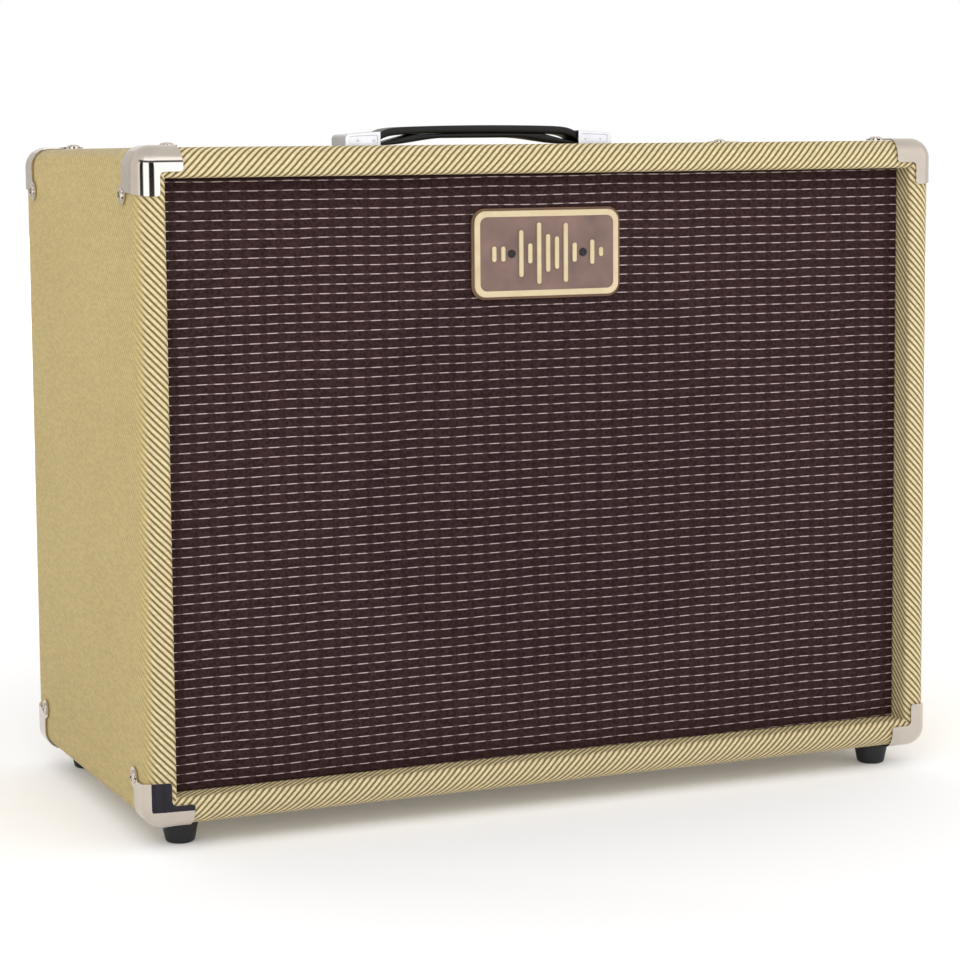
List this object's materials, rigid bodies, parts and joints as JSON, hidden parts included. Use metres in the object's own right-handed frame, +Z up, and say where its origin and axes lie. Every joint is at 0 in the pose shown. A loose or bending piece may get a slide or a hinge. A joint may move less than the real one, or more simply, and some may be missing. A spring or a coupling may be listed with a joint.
{
  "type": "guitar amplifier",
  "caption": "Valve guitar combo amplifier: tweed-covered cabinet with grille cloth, corner protectors, strap handle, recessed top controls and an open back.",
  "frame": {"origin": "under the middle of the cabinet, on the surface that its four feet stand on", "axes": "+X to the right seen from the front, along the width; +Y to the rear; +Z up"},
  "size_m": [0.562, 0.275, 0.444],
  "materials": {
    "covered_board": "board covered in glued tweed cloth with diagonal stripes",
    "bare_wood": "plain plywood",
    "grille_cloth": "stretched dark maroon cloth with rows of pale dashes",
    "badge": "cream plastic with a brown edge and a plain raised emblem",
    "nickel": "bright nickel plate",
    "rubber": "black moulded rubber",
    "strap": "black grained strap, semi-gloss",
    "panel_metal": "polished plate",
    "steel": "zinc-plated sheet steel",
    "knob": "dark brown moulded plastic",
    "black_steel": "black paint, satin",
    "socket_plastic": "black moulded plastic",
    "glass": "clear glass with a brown base",
    "lamp": "red faceted glass",
    "board": "brown fibre board with lacquer",
    "paper": "black pressed paper",
    "copper": "enamelled copper wire"
  },
  "bodies": {
    "cabinet": {"top_panel": "covered_board", "bottom_panel": "covered_board", "left_side_panel": "covered_board", "right_side_panel": "covered_board", "baffle_board": "bare_wood", "grille_frame": "bare_wood", "grille_cloth": "grille_cloth", "badge_plate": "badge", "corner_front_top_left": "nickel", "corner_front_top_right": "nickel", "corner_front_bottom_left": "nickel", "corner_front_bottom_right": "nickel", "corner_rear_top_left": "nickel", "corner_rear_top_right": "nickel", "corner_rear_bottom_left": "nickel", "corner_rear_bottom_right": "nickel", "foot_front_left": "rubber", "foot_front_right": "rubber", "foot_rear_left": "rubber", "foot_rear_right": "rubber", "handle_cap_left": "nickel", "handle_cap_right": "nickel", "upper_back_panel": "covered_board", "lower_back_panel": "covered_board", "back_cleat_left": "bare_wood", "back_cleat_right": "bare_wood", "chassis": "steel", "control_panel": "panel_metal", "input_jack_1": "socket_plastic", "input_jack_2": "socket_plastic", "volume_potentiometer": "steel", "treble_potentiometer": "steel", "bass_potentiometer": "steel", "reverb_potentiometer": "steel", "standby_switch_body": "steel", "power_switch_body": "steel", "pilot_lamp": "lamp", "power_transformer": "black_steel", "output_transformer": "black_steel", "circuit_board": "board", "power_tube_1": "glass", "power_tube_2": "glass", "preamp_tube_1": "glass", "preamp_tube_2": "glass", "preamp_tube_3": "glass", "reverb_tank": "steel", "speaker_jack": "socket_plastic", "power_inlet": "socket_plastic", "speaker_frame": "black_steel", "speaker_magnet": "black_steel"},
    "handle": {"handle_strap": "strap"},
    "volume_control": {"volume_knob": "knob"},
    "treble_control": {"treble_knob": "knob"},
    "bass_control": {"bass_knob": "knob"},
    "reverb_control": {"reverb_knob": "knob"},
    "standby_lever": {"standby_switch_lever": "panel_metal"},
    "power_lever": {"power_switch_lever": "panel_metal"},
    "speaker_motor": {"speaker_cone": "paper", "voice_coil": "copper", "dust_cap": "paper"}
  },
  "joints": [
    {"name": "handle_lift", "type": "slide", "parent": "cabinet", "child": "handle", "axis": [0, 0, 1], "range_m": [0, 0.0035]},
    {"name": "volume_turn", "type": "hinge", "parent": "cabinet", "child": "volume_control", "pos_m": [-0.105, 0.073, 0.41], "axis": [0, 0, 1], "range_deg": [-150, 150]},
    {"name": "treble_turn", "type": "hinge", "parent": "cabinet", "child": "treble_control", "pos_m": [-0.05, 0.073, 0.41], "axis": [0, 0, 1], "range_deg": [-150, 150]},
    {"name": "bass_turn", "type": "hinge", "parent": "cabinet", "child": "bass_control", "pos_m": [0.005, 0.073, 0.41], "axis": [0, 0, 1], "range_deg": [-150, 150]},
    {"name": "reverb_turn", "type": "hinge", "parent": "cabinet", "child": "reverb_control", "pos_m": [0.06, 0.073, 0.41], "axis": [0, 0, 1], "range_deg": [-150, 150]},
    {"name": "standby_toggle", "type": "hinge", "parent": "cabinet", "child": "standby_lever", "pos_m": [0.152, 0.073, 0.4038], "axis": [1, 0, 0], "range_deg": [0, 24]},
    {"name": "power_toggle", "type": "hinge", "parent": "cabinet", "child": "power_lever", "pos_m": [0.192, 0.073, 0.4038], "axis": [1, 0, 0], "range_deg": [0, 24]},
    {"name": "cone_travel", "type": "slide", "parent": "cabinet", "child": "speaker_motor", "axis": [0, 1, 0], "range_m": [-0.003, 0.003], "stiffness_N_per_m": 4000}
  ]
}
